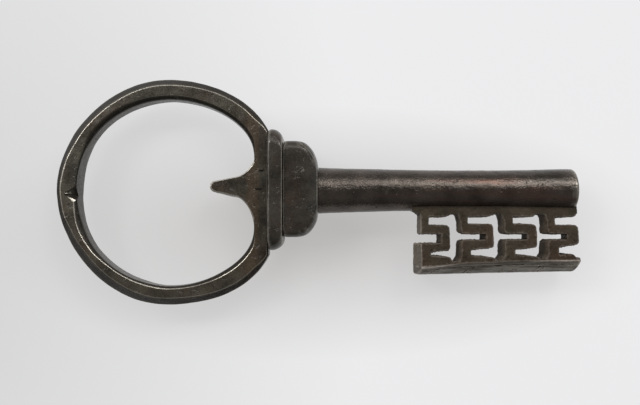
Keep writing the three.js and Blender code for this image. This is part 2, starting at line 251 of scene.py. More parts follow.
@dataclass(frozen=True)
class ForgedIron:
    """Dark worn iron: mottled skin, pits, lengthwise streaks and rubbed edges, with darker hollows from
    grime and painted shade, painted shade under the shank, painted light on side walls, a painted sheen
    on polish and painted highlights on the ring's arrises.
    """

    slot: Slot
    dark: Color
    light: Color
    rust: Color
    rust_share: float = 0.5
    pit_dark: float = 0.7
    # Hollows go dark: grime in grooves, and painted shade where a low relief is set, as on the ring's
    # bevels and walls.
    hollow_grime_and_shade: float = 0.92
    streak: tuple[float, float, float] = (1.0, 1.0, 1.0)
    roughness: float = 0.30
    metallic: float = 0.35
    ior: float = 1.6
    specular: float = 0.5
    pit_depth: float = 0.10 * MM
    grain_depth: float = 0.030 * MM
    # Pale colour of rubbed edges: wear, and on the ring's arrises partly a painted highlight.
    worn: Color = (0.46, 0.43, 0.37, 1.0)
    worn_share: float = 0.9
    worn_metallic: float = 0.75
    speck: float = 0.35
    polish_from: float | None = None
    polish_slope: float = 0.0
    polish_end: float = 25.6
    polish_end_share: float = 0.38
    polish_metallic: float = 0.35
    polish_smooth: float = 0.22
    polish_wear: float = 0.9
    line_fade: float = 0.5
    seam_fade: float = 0.4
    seam_from: float = -5.4
    bare_from: float | None = None
    # Painted shade in the corner under the shank: full above this height, fading out over the fade below
    # it.
    painted_shade_from: float = -3.9
    painted_shade_fade: float = 0.7
    # Pale polish colour: partly real polish, partly a painted sheen for light reflected off the foot's
    # face and the end face.
    polish_sheen: Color = (0.205, 0.19, 0.16, 1.0)
    # Painted light: a lighter brown for the side walls, as if more light reached them.
    side: Color = (0.150, 0.116, 0.080, 1.0)
    side_light_share: float = 0.0
    braze_from: float | None = None
    braze_to: float = 0.0
    braze_fade: float = 1.2
    braze: Color = (0.084, 0.058, 0.035, 1.0)

    def make(self) -> Finish:
        """Makes the material.

        Returns:
            The finished material.
        """
        material = bpy.data.materials.new(self.slot.value)
        maker = NodeMaker(material)
        place = maker.place()
        drawn = maker.stretched(self.streak)
        mottle = maker.noise(6.0, 7.0, place)
        stain = maker.noise(9.0, 6.0, drawn, 0.65)
        grain = maker.noise(0.9, 5.0, drawn, 0.7)
        specks = maker.noise(0.45, 3.0, place, 0.6)
        pits = 1 - maker.ramp(maker.noise(1.4, 4.0, place, 0.55), (0.28, 0.0), (0.38, 1.0))
        relief = maker.stored(RELIEF)
        # Low relief: grime in grooves and painted shade on the ring's bevels and walls.
        sunk_grime_and_shade = 1 - maker.ramp(relief, (0.25, 0.0), (0.42, 1.0))
        edges = maker.ramp(relief, (0.62, 0.0), (0.78, 1.0))
        color = maker.mix(maker.ramp(mottle, (0.30, 0.0), (0.62, 1.0)), self.dark, self.light)
        rust = maker.ramp(stain, (0.46, 0.0), (0.62, 1.0)) * self.rust_share
        color = maker.mix(rust, color, self.rust)
        if self.braze_from is not None:
            color = maker.mix(self._braze_mask(maker, stain), color, self.braze)
        color = maker.mix(pits * self.pit_dark, color, self.dark)
        metal = self.metallic
        rough = self.roughness + 0.22 * (mottle - 0.5) + 0.30 * (grain - 0.5) + 0.15 * pits
        share = self.worn_share
        if self.polish_from is not None:
            # Painted light: the side walls go lighter and browner.
            color = maker.mix(maker.stored(SIDE_LIGHT) * self.side_light_share, color, self.side)
            polish_and_sheen = self._polish_and_sheen_mask(maker) * (1 - sunk_grime_and_shade)
            below = (-1 * maker.along(1)).past(-self.seam_from, self.seam_fade)
            share = below * share + self.polish_wear * polish_and_sheen
            # Real polish and painted sheen: the polished bit goes pale.
            color = maker.mix(polish_and_sheen, color, self.polish_sheen)
            # Painted shade: the corner under the shank goes dark.
            color = maker.mix(self._painted_shade_mask(maker, stain), color, self.dark)
            metal = metal + self.polish_metallic * polish_and_sheen
            rough = rough - self.polish_smooth * polish_and_sheen
        if self.bare_from is not None:
            share = maker.along(0).past(self.bare_from, self.line_fade) * share
        # Rubbed edges go pale: wear, and on the ring's arrises partly a painted highlight.
        rubbed = edges * share * (0.25 + 1.2 * grain)
        rubbed = rubbed.math("MINIMUM", rubbed, 1.0)
        # Grime in grooves and painted shade where the relief is low.
        color = maker.mix(sunk_grime_and_shade * self.hollow_grime_and_shade, color, self.dark)
        rough = rough + 0.35 * (specks - 0.5) - 0.06 * rubbed
        deep = maker.bump(1 - pits, self.pit_depth, 0.7)
        maker.surface({
            "Base Color": maker.mix(rubbed, color, self.worn),
            "Metallic": metal + (self.worn_metallic - metal) * rubbed,
            "Roughness": rough,
            "IOR": self.ior,
            "Specular IOR Level": self.specular,
            "Normal": maker.bump(grain + self.speck * specks, self.grain_depth, 1.0, Normal=deep),
        })
        return material

    def _polish_and_sheen_mask(self, maker: NodeMaker) -> Wire:
        """Gives how far the finish is rubbed pale, past a slanting line and at the bit's end: real
        polish, and partly a painted sheen that stands in for reflected light.
        """
        streaks = maker.noise(1.3, 4.0, maker.stretched((0.14, 1.0, 1.0)), 0.6)
        x = maker.along(0)
        y = maker.along(1)
        below = (self.polish_slope * x - y).past(-self.polish_from, self.line_fade)
        end = (-1 * x).past(-self.polish_end, self.line_fade, self.polish_end_share)
        end = end * (-1 * y).past(-self.seam_from, 2.0)
        past = below * maker.ramp(streaks, (0.36, 0.3), (0.62, 1.0))
        return past.math("MAXIMUM", past * (1 - end), end)

    def _painted_shade_mask(self, maker: NodeMaker, stain: Wire) -> Wire:
        """Gives where painted shade darkens the corner under the shank, where the shank's shadow falls.
        """
        y = maker.along(1) + (stain - 0.5) * 1.2
        return y.past(self.painted_shade_from - self.painted_shade_fade, self.painted_shade_fade, 0.9)

    def _braze_mask(self, maker: NodeMaker, stain: Wire) -> Wire:
        """Gives where the brown braze lies, between two places along the key."""
        x = maker.along(0) + (stain - 0.5) * 3.5
        start = x.past(self.braze_from, self.braze_fade, 0.6)
        return start.math("MINIMUM", start, (-1 * x).past(-self.braze_to, self.braze_fade, 0.6))


@dataclass(frozen=True)
class Datum:
    """Where the key's own lines lie in the model's frame, in metres."""

    collar_x: float
    axis_y: float
    axis_z: float

    @classmethod
    def from_frame(cls) -> "Datum":
        """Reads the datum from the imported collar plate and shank."""
        plate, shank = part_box("collar_plate"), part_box("shank_pipe")
        return cls(plate[0].x, (shank[0].y + shank[1].y) / 2, (plate[0].z + plate[1].z) / 2)

    def at(self, x: float, y: float, z: float) -> Vector:
        """Turns millimetres from the datum into a place in the frame."""
        return Vector((self.collar_x + x * MM, self.axis_y + y * MM, self.axis_z + z * MM))

    def measure(self, node: str) -> tuple[Vector, Vector]:
        """Gives a node's lowest and highest corner in millimetres from the datum."""
        origin = self.at(0, 0, 0)
        low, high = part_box(node)
        return (Vector(low) - origin) / MM, (Vector(high) - origin) / MM


@dataclass(frozen=True)
class Bench:
    """Modelling steps that the pieces share."""

    datum: Datum

    @staticmethod
    def only(piece: Piece) -> None:
        """Makes a piece the only selected and the active object."""
        bpy.ops.object.select_all(action="DESELECT")
        piece.select_set(True)
        bpy.context.view_layer.objects.active = piece

    def loft(
        self, name: str, loops: Sequence[Loop], ring: bool = False, relief: Sequence[float] = ()
    ) -> Piece:
        """Draws a skin from loop to loop, by extruding a circle's edge again and again.

        Args:
            name: The new piece's name.
            loops: Places in millimetres, as many in each loop.
            ring: True if the last loop meets the first, else the ends are filled.
            relief: How far each place stands out, where that isn't to be measured.

        Returns:
            The closed piece.
        """
        around = len(loops[0])
        bpy.ops.object.select_all(action="DESELECT")
        bpy.ops.mesh.primitive_circle_add(vertices=around, radius=MM)
        piece = bpy.context.object
        piece.name = name
        bpy.ops.object.mode_set(mode="EDIT")
        bpy.ops.mesh.select_mode(type="EDGE")
        for number, loop in enumerate(loops):
            if number:
                bpy.ops.mesh.extrude_edges_move()
            mesh = bmesh.from_edit_mesh(piece.data)
            for vert, point in zip(list(mesh.verts)[-around:], loop):
                vert.co = self.datum.at(*point)
        first, last = range(around), range(len(mesh.verts) - around, len(mesh.verts))
        for ends in ([(first, last)] if ring else [(first,), (last,)]):
            self._close(piece, ends)
        bpy.ops.mesh.select_all(action="SELECT")
        bpy.ops.mesh.normals_make_consistent(inside=False)
        bpy.ops.object.mode_set(mode="OBJECT")
        self._settle(piece.data)
        if relief:
            self._store(piece.data, RELIEF, relief)
        return piece

    @staticmethod
    def _close(piece: Piece, ends: Sequence[range]) -> None:
        """Fills one end of a skin, or bridges two.

        Args:
            piece: The piece in edit mode.
            ends: The indices of the rows that end it.
        """
        bpy.ops.mesh.select_all(action="DESELECT")
        mesh = bmesh.from_edit_mesh(piece.data)
        mesh.verts.index_update()
        for edge in mesh.edges:
            edge.select_set(any(all(vert.index in end for vert in edge.verts) for end in ends))
        bmesh.update_edit_mesh(piece.data)
        if len(ends) > 1:
            bpy.ops.mesh.bridge_edge_loops()
        else:
            bpy.ops.mesh.edge_face_add()

    def slab(self, name: str, outline: Loop, low: float, high: float) -> Piece:
        """Makes a flat piece from an outline, between two heights above the axis."""
        return self.loft(name, [[Vector((p.x, p.y, z)) for p in outline] for z in (low, high)])

    def blade(
        self, first: tuple[Vector, Vector], last: tuple[Vector, Vector], half: float,
        tip: float, rise: float, depth: float,
    ) -> Piece:
        """Makes the blade that cuts one straight stroke into a skin.

        Args:
            first: The stroke's first place and the way that the skin faces there.
            last: Its last ones.
            half: Half of the blade's width at its back.
            tip: The share of it at the edge.
            rise: How far the back stands over the skin.
            depth: How deep the edge goes.

        Returns:
            The cutter.
        """
        side = (last[0] - first[0]).cross(first[1]).normalized() * half
        places = [(first, -1), (last, -1), (last, 1), (first, 1)]
        loops = [
            [place + side * (turn * share) + way * height for (place, way), turn in places]
            for share, height in ((1.0, rise), (tip, -depth))
        ]
        return self.loft("blade", loops)

    def mark(self, piece: Piece, chosen: Callable[[Vector], bool], value: float) -> None:
        """Sets the relief of the points that a test chooses by their place in millimetres."""
        marks = piece.data.attributes[RELIEF].data
        origin = self.datum.at(0, 0, 0)
        for vert in piece.data.vertices:
            if chosen((vert.co - origin) / MM):
                marks[vert.index].value = value

    @staticmethod
    def _settle(mesh: bpy.types.Mesh) -> None:
        """Puts a mesh's faces in one order, since extruding leaves them in a random one."""
        points = [vert.co.copy() for vert in mesh.vertices]
        faces = sorted(tuple(face.vertices) for face in mesh.polygons)
        mesh.clear_geometry()
        mesh.from_pydata(points, [], faces)

    def modify(self, piece: Piece, kind: str, **settings: Any) -> None:
        """Adds a modifier and applies it.

        Args:
            piece: The piece.
            kind: The modifier's type.
            settings: Its settings.
        """
        self.only(piece)
        modifier = piece.modifiers.new(kind.lower(), kind)
        for key, value in settings.items():
            setattr(modifier, key, value)
        bpy.ops.object.modifier_apply(modifier=modifier.name)

    def cut(self, piece: Piece, cutter: Piece) -> None:
        """Cuts a piece with another, which is used up."""
        self.modify(piece, "BOOLEAN", operation="DIFFERENCE", object=cutter, solver="EXACT")
        bpy.data.objects.remove(cutter)

    def roughen(self, piece: Piece, marks: Table) -> None:
        """Moves the surface in and out, as hammer, file and rust leave it.

        Args:
            piece: The piece.
            marks: For each kind of mark its size and how far it moves the surface from
                lowest to highest, in millimetres, and its octaves where they aren't 2.
        """
        for cell, height, *octaves in marks:
            texture = bpy.data.textures.new(f"{piece.name}_marks", "CLOUDS")
            texture.noise_scale = cell * MM
            texture.noise_depth = octaves[0] if octaves else 2
            self.modify(
                piece, "DISPLACE", texture=texture, texture_coords="LOCAL",
                strength=height * MM, mid_level=0.5,
            )

    def melt(self, piece: Piece, voxel: float, rounds: int) -> None:
        """Gives a piece an even fine mesh, voxel millimetres wide, with softened edges."""
        self.modify(piece, "REMESH", mode="VOXEL", voxel_size=voxel * MM, adaptivity=0.0)
        self.modify(piece, "SMOOTH", factor=0.5, iterations=rounds)

    @staticmethod
    def _store(mesh: bpy.types.Mesh, name: str, values: Sequence[float]) -> None:
        """Stores one value for each point."""
        mesh.attributes.new(name, "FLOAT", "POINT").data.foreach_set("value", values)

    def store_side_light(self, piece: Piece) -> None:
        """Stores which points look sideways, where the side walls get painted light."""
        aslant = 1 - np.abs(column(piece.data.vertex_normals, "vector")[:, 2])
        self._store(piece.data, SIDE_LIGHT, np.clip(aslant * 2 - 0.8, 0, 1))

    def store_relief(self, piece: Piece, rounds: int = 12, full: float = 0.12 * MM) -> None:
        """Stores how far each point stands out, which tells the finish where hands rub it.

        The value is 0.5 on an even surface, near 1 on an edge and near 0 in a groove.

        Args:
            piece: The piece.
            rounds: How often the surface is evened out to measure against.
            full: The height that gives 1.
        """
        mesh = piece.data
        points = column(mesh.vertices, "co")
        ends = column(mesh.edges, "vertices", 2, np.int32)
        spots = ends.ravel()
        others = ends[:, ::-1].ravel()
        near = np.maximum(np.bincount(spots, minlength=len(points)), 1)
        even = points
        for _ in range(rounds):
            sums = [np.bincount(spots, even[others, axis], len(points)) for axis in range(3)]
            even = np.stack(sums, axis=1) / near[:, None]
        height = ((points - even) * column(mesh.vertex_normals, "vector")).sum(axis=1)
        self._store(mesh, RELIEF, np.clip(0.5 + 0.5 * height / full, 0, 1))

    def hand_over(self, piece: Piece, slot: Slot, material: Finish, node: str) -> None:
        """Dresses a finished piece and puts it in the place of its node.

        Args:
            piece: The piece.
            slot: The record's slot of its finish; not used.
            material: The finish.
            node: The node that it stands for.
        """
        self.only(piece)
        bpy.ops.object.transform_apply(location=True, rotation=True, scale=True)
        bpy.ops.object.shade_smooth_by_angle(angle=math.radians(38))
        if RELIEF not in piece.data.attributes:
            self.store_relief(piece)
        piece.data.materials.clear()
        piece.data.materials.append(material)
        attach(piece, BODY)
        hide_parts(node)
        log.info("%s stands for %s with %d faces", piece.name, node, len(piece.data.polygons))


def column(items: Any, name: str, width: int = 3, kind: type = float) -> np.ndarray:
    """Reads one property of many mesh items, a row for each item."""
    values = np.empty(len(items) * width, dtype=kind)
    items.foreach_get(name, values)
    return values.reshape(-1, width)


def rounded_rectangle(
    x: float, middle: float, half_y: float, half_z: float, corner: float, steps: int
) -> Loop:
    """Draws a rounded rectangle across the shank's axis, in millimetres.

    Args:
        x: Its place along the shank.
        middle: The height of its middle.
        half_y: Half its height.
        half_z: Half its depth.
        corner: The radius of its corners.
        steps: Points in each of its four corners and four sides.

    Returns:
        The points, turning from +Y to +Z.
    """
    signs = [(1, 1), (-1, 1), (-1, -1), (1, -1)]

    def turned(quarter: int, share: float) -> Vector:
        """Gives a place on one of the corners."""
        angle = (quarter + share) * math.pi / 2
        side_y, side_z = signs[quarter % 4]
        y = side_y * (half_y - corner) + corner * math.cos(angle)
        return Vector((x, middle + y, side_z * (half_z - corner) + corner * math.sin(angle)))

    shares = [step / steps for step in range(steps)]
    points = []
    for quarter in range(4):
        points += [turned(quarter, share) for share in shares]
        start, end = turned(quarter, 1), turned(quarter + 1, 0)
        points += [start.lerp(end, share) for share in shares]
    return points


def rounding(before: Vector, corner: Vector, after: Vector, reach: float, steps: int) -> Loop:
    """Rounds one corner.

    Args:
        before: The point before the corner.
        corner: The corner.
        after: The point after it.
        reach: Where the rounding starts and ends, from the corner.
        steps: Its parts.

    Returns:
        The rounding's points.
    """
    start = corner + (before - corner).normalized() * reach
    end = corner + (after - corner).normalized() * reach
    shares = [step / steps for step in range(steps + 1)]
    return [start * (1 - t) ** 2 + corner * 2 * t * (1 - t) + end * t * t for t in shares]


def smooth(share: float) -> float:
    """Eases a share from 0 to 1 at both of its ends."""
    held = min(max(share, 0.0), 1.0)
    return held * held * (3 - 2 * held)


def curve(start: Vector, lead: Vector, trail: Vector, end: Vector, steps: int) -> Loop:
    """Gives the points of a Bezier curve, without its last one."""
    points = []
    for step in range(steps):
        t = step / steps
        u = 1 - t
        points.append(start * u**3 + lead * 3 * u * u * t + trail * 3 * u * t * t + end * t**3)
    return points


@dataclass
class Bow:
    """The ring with its base bar, and the spur that points into it."""

    bench: Bench
    material: Finish
    crown: float = 25.3
    root_half: float = 15.2
    far_rise: float = 0.5
    root_middle: float = -0.85
    far_band: float = 5.0
    side_band: float = 4.8
    corner_band: float = 6.8
    opening_shift: float = 0.9
    opening_middle: float = -0.6
    base_bar: float = 3.6
    outer_chamfers: Table = (
        (0, 1.2), (60, 1.35), (90, 1.6), (130, 1.95), (150, 1.8), (165, 1.35), (178, 1.0),
        (190, 1.2), (205, 1.9), (220, 2.3), (235, 2.2), (270, 1.7), (310, 1.35), (360, 1.2),
    )
    inner_chamfers: Table = (
        (0, 1.0), (90, 1.0), (130, 1.15), (150, 1.0), (162, 0.5), (175, 0.3), (183, 0.75),
        (198, 1.15), (210, 0.9), (225, 0.5), (270, 0.6), (310, 1.0), (360, 1.0),
    )
    # Where round the ring its arrises are rubbed pale: partly wear, partly a painted highlight where the
    # arrises glint.
    outer_wear_and_glint: Table = (
        (0, 0.45), (60, 0.5), (100, 0.6), (120, 1.0), (172, 1.0), (188, 0.75), (210, 0.5),
        (270, 0.5), (360, 0.45),
    )
    inner_wear_and_glint: Table = (
        (0, 0.3), (60, 0.4), (110, 0.4), (120, 0.1), (175, 0.1), (185, 0.9), (260, 1.0),
        (275, 0.5), (295, 0.4), (310, 0.8), (325, 0.8), (340, 0.3), (360, 0.3),
    )
    outer_steeps: Table = (
        (0, 0.95), (90, 0.95), (135, 0.85), (180, 0.7), (225, 0.8), (270, 0.95), (360, 0.9),
    )
    inner_steep: float = 0.9
    inner_round: float = 0.8
    arris: float = 0.24
    arc_steps: int = 44
    base_steps: int = 20
    # How far each rail stands out: values under 0.5 paint shade on the bevels and walls, values over 0.5
    # are rubbed arrises.
    outer_wear_and_shade: tuple[float, ...] = (0.4, 0.35, 0.4, 0.15, 0.4, 0.85, 0.97, 0.85, 0.6)
    inner_wear_and_shade: tuple[float, ...] = (0.5, 0.8, 0.97, 0.8, 0.35, 0.2, 0.2, 0.3, 0.35)
    # Painted shade on the inner wall.
    wall_painted_shade: float = 0.36
    root_chamfer: float = 0.5
    base_chamfer: float = 0.04
    base_near: float = 0.02
    nick_reach: float = 3.15
    nick_tip: float = -1.0
    nick_run: float = 4.55
    nick_mouth: Table = ((4.2, 0.95), (-3.7, 0.95), (-0.5, -2.6))
    nick_edge_fall: float = 2.1
    bevel_corners: Table = ((0.2, 0.1), (0.2, 0.5), (0.95, 0.5), (0.95, -0.4))
    bevel_near: float = 0.04
    spur_tip: float = 14.5
    spur_middle: float = 0.85
    spur_tip_half: float = 1.45
    spur_neck_half: float = 2.35
    spur_neck: float = 9.0
    spur_root_lap: float = 0.35
    spur_pulls: Table = ((0.35, 2.7, 2.8), (0.5, 3.3, 3.0))
    flare_steps: int = 24
    slit_places: Table = ((-1.15, -2.3, 4.72), (-1.75, -3.35, 0.2))
    slit: float = 0.13
    ring_marks: Table = ((9.0, 0.3), (1.6, 0.06))
    spur_marks: Table = ((9.0, 0.3), (1.6, 0.07))
    slit_depth: float = 0.8

    def __post_init__(self) -> None:
        """Reads the ring's box, the height of its middle line and half of its width."""
        self.low, self.high = self.bench.datum.measure("bow_ring")
        self.middle = (self.low.y + self.high.y) / 2
        self.half = (self.high.y - self.low.y) / 2

    def outer(self) -> Loop:
        """Gives the points of the ring's outline."""
        return self._outline(
            -self.low.x, self.crown, self.half, 0.0, self.root_half,
            (self.middle, self.root_middle), (0.172 * self.crown, 0.72), (0.387, 0.52, 0.539),
        )

    def opening(self) -> Loop:
        """Gives the points of the opening's outline."""
        return self._outline(
            -self.low.x - self.far_band, self.crown - self.opening_shift,
            self.half - self.side_band, -self.base_bar,
            self.root_half - self.corner_band, (self.opening_middle, self.opening_middle),
            (0.0, 0.63), (0.404, 0.355, 0.753),
        )

    def _outline(
        self, far: float, crown: float, half: float, root_x: float, root_half: float,
        middles: tuple[float, float], root_pull: tuple[float, float],
        pulls: tuple[float, float, float],
    ) -> Loop:
        """Draws four curves and a straight base line.

        Args:
            far: The far end, from the collar.
            crown: Where the outline is widest.
            half: Half of its width there.
            root_x: The base line.
            root_half: Half of the base line's length.
            middles: The heights of the ring's and of the root's middle line.
            root_pull: The first handle, along and across.
            pulls: The handles at the crown, beside it and at the far end.

        Returns:
            The points, from the base line's top over the far end to its foot.
        """
        crown_pull, side_pull, far_pull = pulls
        middle, root_middle = middles
        halves = []
        for side in (1, -1):
            start = Vector((root_x, root_middle + side * root_half, 0))
            top = Vector((-crown, middle + side * half, 0))
            end = Vector((-far, middle + self.far_rise, 0))
            lead = start + Vector((-root_pull[0], side * (half - root_half) * root_pull[1], 0))
            trail = top + Vector(((crown + root_x) * crown_pull, 0, 0))
            points = curve(start, lead, trail, top, self.arc_steps)
            lead = top - Vector(((far - crown) * side_pull, 0, 0))
            trail = end + Vector((0, side * half * far_pull, 0))
            halves.append([*points, *curve(top, lead, trail, end, self.arc_steps)])
        upper, lower = halves
        foot = lower[0]
        base = [foot.lerp(upper[0], step / self.base_steps) for step in range(1, self.base_steps)]
        return [*upper, end, *reversed(lower), *base]

    def _chamfers(self, outer: Vector, opening: Vector) -> tuple[float, float, float]:
        """Gives both chamfers' widths and the outer one's steepness at a place on the ring."""
        turn = self._turn(outer)
        along = abs(opening.x + self.base_bar)
        across = max(0.0, abs(opening.y - self.opening_middle) - self.root_half + self.corner_band)
        beside = math.hypot(along, across) if along > self.base_near else 0.0
        inner = self._read(self.inner_chamfers, turn) - self.base_chamfer
        outer_width = self._read(self.outer_chamfers, turn) - self.root_chamfer
        return (
            self.root_chamfer + outer_width * smooth(-outer.x / 3.0),
            self.base_chamfer + inner * smooth(beside / 5.0),
            self._read(self.outer_steeps, turn),
        )

    def _turn(self, place: Vector) -> float:
        """Gives where a place lies round the ring, in degrees from the base bar upwards."""
        return math.degrees(math.atan2(place.y - self.middle, place.x + self.crown)) % 360

    @staticmethod
    def _read(table: Table, place: float) -> float:
        """Reads a table of places and values, eased between its lines."""
        for (start, value), (end, next_value) in zip(table, table[1:]):
            if place <= end:
                return value + (next_value - value) * smooth((place - start) / (end - start))
        return table[-1][1]

    @staticmethod
    def _inwards(outline: Loop, sign: float) -> Loop:
        """Gives the way into the iron at each point of an outline."""
        ways = []
        for index in range(len(outline)):
            run = outline[(index + 1) % len(outline)] - outline[index - 1]
            ways.append(Vector((-run.y, run.x, 0)).normalized() * sign)
        return ways

    def ring(self) -> Piece:
        """Makes the ring with chamfers, rubbed arrises, painted shade on its bevels and inner wall, and
        the nick.

        Returns:
            The ring.
        """
        bench = self.bench
        outer = self.outer()
        opening = self.opening()
        ways = [self._inwards(outer, 1.0), self._inwards(opening, -1.0)]
        sections = [self._section(*points) for points in zip(outer, ways[0], opening, ways[1])]
        fronts = len(sections[0])
        loops = [[section[rail] for section in sections] for rail in range(fronts)]
        loops += [
            [Vector((place.x, place.y, -place.z)) for place in loop] for loop in loops[-2:0:-1]
        ]
        ring = bench.loft("bow_ring_forged", loops, True, self._wear_glint_and_shade(loops, fronts))
        bench.modify(ring, "SUBSURF", subdivision_type="SIMPLE", levels=1, render_levels=1)
        bench.roughen(ring, self.ring_marks)
        bench.cut(ring, self._nick_cutter())
        bevel = self._nick_bevel()
        bench.cut(ring, bench.loft("nick_bevel", bevel))
        # The nick's lower bevel goes pale: filed metal and partly a painted highlight.
        self._mark_bevel_worn_and_glinting(ring, bevel)
        front = self.high.z
        for near, far, height in self.slit_places:
            outline = [
                (near, height - self.slit * 0.4), (near, height + self.slit * 0.6),
                (far, height + self.slit), (far - 0.15, height), (far, height - self.slit),
            ]
            slit = [Vector((x, y, 0)) for x, y in outline]
            bench.cut(ring, bench.slab("slit_cutter", slit, front - self.slit_depth, front + 1))
        return ring

    def _wear_glint_and_shade(self, loops: list[Loop], fronts: int) -> list[float]:
        """Gives how far each place stands out, less where hands didn't rub the arrises. Low values paint
        shade on the bevels and walls, and the wear-and-glint tables set pale arrises that are partly a
        painted highlight.

        Args:
            loops: The ring's rails.
            fronts: How many rails the front half has.

        Returns:
            The relief of every place on every rail.
        """
        middle = [0.5, 0.5, 0.5]
        levels = [*self.outer_wear_and_shade, *middle, *self.inner_wear_and_shade]
        levels += [self.wall_painted_shade] * (fronts - len(levels))
        relief = []
        for rail, loop in enumerate(loops):
            folded = min(rail, 2 * (fronts - 1) - rail)
            level = levels[folded]
            outside = folded < len(self.outer_wear_and_shade) + len(middle)
            table = self.outer_wear_and_glint if outside else self.inner_wear_and_glint
            for place in loop:
                share = self._read(table, self._turn(place)) if level > 0.5 else 1.0
                relief.append(0.5 + (level - 0.5) * share)
        return relief

    def _section(
        self, outer: Vector, outer_way: Vector, opening: Vector, opening_way: Vector
    ) -> Loop:
        """Gives the front half of the ring's section, from its outer wall to its inner one.

        Args:
            outer: The outline's point.
            outer_way: The way into the iron there.
            opening: The opening's point.
            opening_way: The way into the iron there.

        Returns:
            The points, as many at each place on the ring.
        """
        outer_width, inner_width, outer_steep = self._chamfers(outer, opening)
        up = Vector((0, 0, 1))
        front = up * self.high.z
        outer_wall = outer + up * (self.high.z - outer_width * outer_steep)
        outer_edge = outer + outer_way * outer_width + front
        inner_edge = opening + opening_way * inner_width + front
        inner_wall = opening + up * (self.high.z - inner_width * self.inner_steep)
        inner_foot = inner_wall - up * self.inner_round
        reach = min(self.arris, inner_width * 0.4)
        return [
            outer, outer.lerp(outer_wall, 0.55), outer_wall, outer_wall.lerp(outer_edge, 0.5),
            *rounding(outer_wall, outer_edge, inner_edge, self.arris, 4),
            *(outer_edge.lerp(inner_edge, share) for share in (0.25, 0.5, 0.75)),
            *rounding(outer_edge, inner_edge, inner_wall, reach, 4),
            *rounding(inner_edge, inner_wall, inner_foot, inner_width * 0.45, 4),
            opening.lerp(inner_wall, 0.25), opening,
        ]

    def _mark_bevel_worn_and_glinting(self, ring: Piece, bevel: Sequence[Loop]) -> None:
        """Marks as rubbed, so pale, what the bevel's blade has cut: filed metal, and partly a painted
        highlight along the nick's bright lower edge.

        Args:
            ring: The ring.
            bevel: The blade's two ends.
        """
        corners = [corner for end in bevel for corner in end]
        low = [min(corner[axis] for corner in corners) for axis in range(3)]
        high = [max(corner[axis] for corner in corners) for axis in range(3)]
        start, side, far_start = bevel[0][0], bevel[0][3], bevel[1][0]
        across = (side - start).cross(far_start - start).normalized()

        def cut_here(place: Vector) -> bool:
            """Tells whether a place lies on the bevel."""
            inside = all(low[axis] <= place[axis] <= high[axis] for axis in range(3))
            return inside and abs((place - start).dot(across)) < self.bevel_near

        self.bench.mark(ring, cut_here, 1.0)

    def _nick_bevel(self) -> list[Loop]:
        """Gives the two ends of the blade that bevels the nick's lower edge."""
        point = self.low.x + self.far_band - self.nick_reach
        start = Vector((point + 0.1, self.nick_tip - 0.2, self.high.z))
        along = Vector((self.nick_reach * 0.72, -self.nick_edge_fall, 0))
        across = Vector((-along.y, along.x, 0)).normalized()
        up = Vector((0, 0, 1))
        corners = [across * y + up * z for y, z in self.bevel_corners]
        return [[end + corner for corner in corners] for end in (start, start + along)]

    def _nick_cutter(self) -> Piece:
        """Makes the pointed wedge that cuts the nick."""
        point = Vector((
            self.low.x + self.far_band - self.nick_reach - 0.35, self.nick_tip,
            self.high.z + 0.25,
        ))
        mouth = [point + Vector((self.nick_run, *corner)) for corner in self.nick_mouth]
        return self.bench.loft("nick_cutter", [[point.lerp(end, 0.01) for end in mouth], mouth])

    def spur(self) -> Piece:
        """Makes the spur with its flared root and its tang.

        Returns:
            The spur.
        """
        root = -self.base_bar
        lap = root + self.spur_root_lap
        half = self.root_half - self.corner_band - 0.1
        steps = self.flare_steps
        sides = []
        for side, (near, rise, far) in zip((1, -1), self.spur_pulls):
            start = Vector((root, self.opening_middle + side * half, 0))
            neck = Vector((-self.spur_neck, self.spur_middle + side * self.spur_neck_half, 0))
            lead = Vector((root - near, neck.y + side * rise, 0))
            sides.append([*curve(start, lead, Vector((root - far, neck.y, 0)), neck, steps), neck])
        top, foot = sides
        tip = []
        for step in range(steps + 1):
            angle = math.pi / 2 + math.pi * step / steps
            x = -self.spur_tip + self.spur_tip_half * (1 + math.cos(angle))
            tip.append(Vector((x, self.spur_middle + self.spur_tip_half * math.sin(angle), 0)))
        outline = [
            Vector((lap, top[0].y - 0.2, 0)), *top[:-1], *tip, *reversed(foot),
            Vector((lap, foot[0].y + 0.2, 0)),
        ]
        front = self.high.z - 0.05
        spur = self.bench.slab("bow_spur_forged", outline, -front, front)
        self.bench.modify(
            spur, "BEVEL", width=0.3 * MM, segments=2, limit_method="ANGLE",
            angle_limit=math.radians(50),
        )
        self.bench.melt(spur, 0.15, 3)
        self.bench.roughen(spur, self.spur_marks)
        return spur

    def build(self) -> None:
        """Makes both pieces and hands them over."""
        self.bench.hand_over(self.ring(), Slot.BOW, self.material, "bow_ring")
        self.bench.hand_over(self.spur(), Slot.BOW, self.material, "bow_spur")


